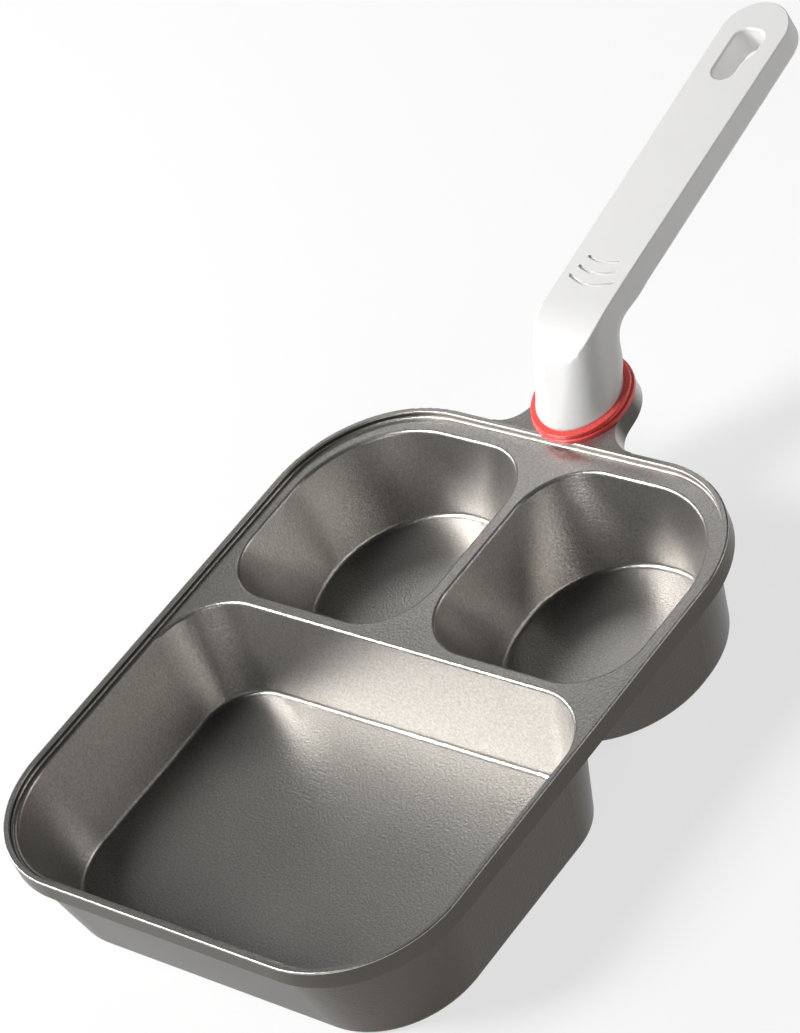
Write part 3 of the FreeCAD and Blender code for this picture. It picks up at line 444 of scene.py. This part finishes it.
def dress(piece, material):
    """Gives every slot of a piece one material."""
    if not piece.material_slots:
        piece.data.materials.append(material)
    for slot in piece.material_slots:
        slot.material = material


# Vertices nearer than the merge distance become one, and so do faces that turn less than the flat
# angle. Edges that turn more than the sharp angle bound the grip's upper face, and those that turn
# more than the smooth angle stay crisp.

MERGE_DISTANCE = 0.00001
FLAT_ANGLE = math.radians(0.5)
SHARP_ANGLE = math.radians(40.0)
SMOOTH_ANGLE = math.radians(20.0)
EDGE_SEGMENTS = 6


def upper_outline(shape):
    """The run of sharp edges round the grip's upper face, found from its highest vertex."""
    sharp = {edge for edge in shape.edges if edge.calc_face_angle() > SHARP_ANGLE}
    corners = {vertex for edge in sharp for vertex in edge.verts}
    waiting = [max(corners, key=lambda vertex: vertex.co.z)]
    outline = set()
    while waiting:
        vertex = waiting.pop()
        fresh = [edge for edge in vertex.link_edges if edge in sharp and edge not in outline]
        outline.update(fresh)
        waiting.extend(edge.other_vert(vertex) for edge in fresh)
    return list(outline)


def round_grip_edge(node, width):
    """A copy of the handle whose upper outline has the small rounding of a moulded edge."""
    shape = bmesh.new()
    shape.from_mesh(node.data)
    bmesh.ops.remove_doubles(shape, verts=shape.verts, dist=MERGE_DISTANCE)
    bmesh.ops.dissolve_limit(shape, angle_limit=FLAT_ANGLE, verts=shape.verts, edges=shape.edges)
    bmesh.ops.bevel(
        shape, geom=upper_outline(shape), affect="EDGES", offset=width, offset_type="OFFSET",
        segments=EDGE_SEGMENTS, profile=0.5, material=-1, clamp_overlap=False)
    mesh = bpy.data.meshes.new("handle_moulding")
    shape.to_mesh(mesh)
    shape.free()
    mesh.shade_smooth()
    mesh.set_sharp_from_angle(angle=SMOOTH_ANGLE)
    piece = add_object("handle_moulding", mesh)
    even = piece.modifiers.new("even_normals", "WEIGHTED_NORMAL")
    even.keep_sharp = True
    return piece


# Stage
# Places are in metres, and lamps stand round the pan's middle by two angles in degrees.

Lamp = namedtuple("Lamp", "azimuth elevation width height")

FLOOR_Z = min(corner[2] for corner in CAD_BOX)
MIDDLE = (0.0, 0.0, 0.03)
LAMP_DISTANCE = 1.7
LAMPS = {
    "key": Lamp(azimuth=222.0, elevation=42.0, width=0.6, height=0.8),
    "left": Lamp(azimuth=190.0, elevation=20.0, width=0.5, height=0.5),
    "right": Lamp(azimuth=45.0, elevation=25.0, width=0.6, height=0.6),
    "front": Lamp(azimuth=285.0, elevation=12.0, width=0.6, height=0.4),
}
DECK_BACK = (0.02, 0.10, 0.04)
DECK_LAMP_PLACE = (-0.431, 0.441, 0.49)
DECK_LAMP_WIDTH = 0.22
DECK_LAMP_HEIGHT = 0.16
CAMERA_PLACE = (0.9959, -0.6383, 1.0138)
CAMERA_AZIMUTH = math.radians(55.64)
CAMERA_ELEVATION = math.radians(37.82)
CAMERA_ROLL = math.radians(-27.06)
FILM_WIDTH = 36.0
FARTHEST_SEEN = 100.0


def add_floor(stage):
    """A flat square that the pan stands on."""
    mesh = bpy.data.meshes.new("floor")
    shape = bmesh.new()
    bmesh.ops.create_grid(shape, x_segments=1, y_segments=1, size=stage.floor_width / 2)
    bmesh.ops.translate(shape, verts=shape.verts, vec=(0.0, 0.0, FLOOR_Z))
    shape.to_mesh(mesh)
    shape.free()
    floor = add_object("floor", mesh)
    dress(floor, floor_material(stage.floor_color, stage.floor_glow))


def set_sky(strength):
    """A little even light from all round."""
    world = bpy.data.worlds.new("studio_sky")
    bpy.context.scene.world = world
    world.use_nodes = True
    tree = world.node_tree
    tree.nodes.clear()
    output = tree.nodes.new("ShaderNodeOutputWorld")
    sky = tree.nodes.new("ShaderNodeBackground")
    sky.inputs["Color"].default_value = WHITE
    sky.inputs["Strength"].default_value = strength
    tree.links.new(sky.outputs["Background"], output.inputs["Surface"])


def lamp_place(azimuth, elevation):
    """A place at the lamps' distance from the pan's middle, from two angles in degrees."""
    turn, rise = math.radians(azimuth), math.radians(elevation)
    out = LAMP_DISTANCE * math.cos(rise)
    up = LAMP_DISTANCE * math.sin(rise)
    return (MIDDLE[0] + out * math.cos(turn), MIDDLE[1] + out * math.sin(turn), MIDDLE[2] + up)


def add_lamp(name, place, target, width, height, power):
    """A rectangular lamp at a place, turned to a target."""
    data = bpy.data.lights.new(name, "AREA")
    data.shape = "RECTANGLE"
    data.size = width
    data.size_y = height
    data.energy = power
    lamp = add_object(name, data)
    lamp.location = place
    lamp.rotation_euler = (Vector(target) - Vector(place)).to_track_quat("-Z", "Y").to_euler()


def add_lamps(stage):
    """The lamps round the pan, and the small one whose image lies on the deck's back."""
    for side, lamp in LAMPS.items():
        place = lamp_place(lamp.azimuth, lamp.elevation)
        power = getattr(stage, f"{side}_power")
        add_lamp(f"{side}_lamp", place, MIDDLE, lamp.width, lamp.height, power)
    add_lamp("deck_lamp", DECK_LAMP_PLACE, DECK_BACK, DECK_LAMP_WIDTH, DECK_LAMP_HEIGHT,
             stage.deck_power)


def add_camera(lens):
    """The camera at the photograph's place, turned about its own axis as the photograph is."""
    data = bpy.data.cameras.new("camera")
    data.lens = lens
    data.sensor_width = FILM_WIDTH
    data.clip_end = FARTHEST_SEEN
    camera = add_object("camera", data)
    turn = (
        Matrix.Rotation(CAMERA_AZIMUTH, 4, "Z")
        @ Matrix.Rotation(math.pi / 2 - CAMERA_ELEVATION, 4, "X")
        @ Matrix.Rotation(CAMERA_ROLL, 4, "Z")
    )
    camera.matrix_world = Matrix.Translation(CAMERA_PLACE) @ turn
    bpy.context.scene.camera = camera


# Operators

class DIVIDED_PAN_OT_finish_casting(bpy.types.Operator):
    """Give the casting its satin titanium-grey coat"""

    bl_idname = "divided_pan.finish_casting"
    bl_label = "Finish Casting"

    def execute(self, context):
        dress(NODES["pan_body"], casting_coat(context.scene.pan_casting))
        return {"FINISHED"}


class DIVIDED_PAN_OT_finish_handle(bpy.types.Operator):
    """Round the grip's upper edge and give the handle its white plastic"""

    bl_idname = "divided_pan.finish_handle"
    bl_label = "Finish Handle"

    def execute(self, context):
        finish = context.scene.pan_handle
        handle = round_grip_edge(NODES["handle"], finish.edge)
        dress(handle, handle_plastic(finish))
        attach(handle, "root")
        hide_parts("handle")
        return {"FINISHED"}


class DIVIDED_PAN_OT_finish_ring(bpy.types.Operator):
    """Give the neck's ring its red silicone"""

    bl_idname = "divided_pan.finish_ring"
    bl_label = "Finish Ring"

    def execute(self, context):
        dress(NODES["neck_ring"], ring_rubber(context.scene.pan_ring))
        return {"FINISHED"}


class DIVIDED_PAN_OT_finish_fasteners(bpy.types.Operator):
    """Give the screw and the washers their zinc plating"""

    bl_idname = "divided_pan.finish_fasteners"
    bl_label = "Finish Fasteners"

    def execute(self, context):
        zinc = turned_metal("zinc_plate", context.scene.pan_fasteners)
        for name in ("handle_screw", "spring_washer", "flat_washer"):
            dress(NODES[name], zinc)
        return {"FINISHED"}


class DIVIDED_PAN_OT_finish_insert(bpy.types.Operator):
    """Give the threaded insert its turned brass"""

    bl_idname = "divided_pan.finish_insert"
    bl_label = "Finish Insert"

    def execute(self, context):
        dress(NODES["handle_insert"], turned_metal("turned_brass", context.scene.pan_insert))
        return {"FINISHED"}


class DIVIDED_PAN_OT_set_stage(bpy.types.Operator):
    """Add the floor, the lamps and the camera"""

    bl_idname = "divided_pan.set_stage"
    bl_label = "Set Stage"

    def execute(self, context):
        stage = context.scene.pan_stage
        add_floor(stage)
        set_sky(stage.sky_strength)
        add_lamps(stage)
        add_camera(stage.lens)
        context.scene.view_settings.view_transform = "Standard"
        return {"FINISHED"}


# Panel and registration

Step = namedtuple("Step", "settings group operator")

STEPS = (
    Step("pan_casting", CastingFinish, DIVIDED_PAN_OT_finish_casting),
    Step("pan_handle", HandleFinish, DIVIDED_PAN_OT_finish_handle),
    Step("pan_ring", RingFinish, DIVIDED_PAN_OT_finish_ring),
    Step("pan_fasteners", FastenerFinish, DIVIDED_PAN_OT_finish_fasteners),
    Step("pan_insert", InsertFinish, DIVIDED_PAN_OT_finish_insert),
    Step("pan_stage", StageSettings, DIVIDED_PAN_OT_set_stage),
)


class DIVIDED_PAN_PT_panel(bpy.types.Panel):
    """Lists the pan's steps in the sidebar, each with its settings"""

    bl_idname = "DIVIDED_PAN_PT_panel"
    bl_label = "Divided Pan"
    bl_space_type = "VIEW_3D"
    bl_region_type = "UI"
    bl_category = "Divided Pan"

    def draw(self, context):
        for step in STEPS:
            box = self.layout.box()
            settings = getattr(context.scene, step.settings)
            for name in step.group.__annotations__:
                box.prop(settings, name)
            box.operator(step.operator.bl_idname)


def register():
    """Registers each step's settings and operator, and the panel."""
    for step in STEPS:
        bpy.utils.register_class(step.group)
        setattr(bpy.types.Scene, step.settings, PointerProperty(type=step.group))
        bpy.utils.register_class(step.operator)
    bpy.utils.register_class(DIVIDED_PAN_PT_panel)


def unregister():
    """Takes back all that register did, last first."""
    bpy.utils.unregister_class(DIVIDED_PAN_PT_panel)
    for step in reversed(STEPS):
        bpy.utils.unregister_class(step.operator)
        delattr(bpy.types.Scene, step.settings)
        bpy.utils.unregister_class(step.group)


def main():
    """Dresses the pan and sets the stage."""
    register()
    bpy.ops.divided_pan.finish_casting()
    bpy.ops.divided_pan.finish_handle()
    bpy.ops.divided_pan.finish_ring()
    bpy.ops.divided_pan.finish_fasteners()
    bpy.ops.divided_pan.finish_insert()
    bpy.ops.divided_pan.set_stage()


if __name__ == "__main__":
    main()
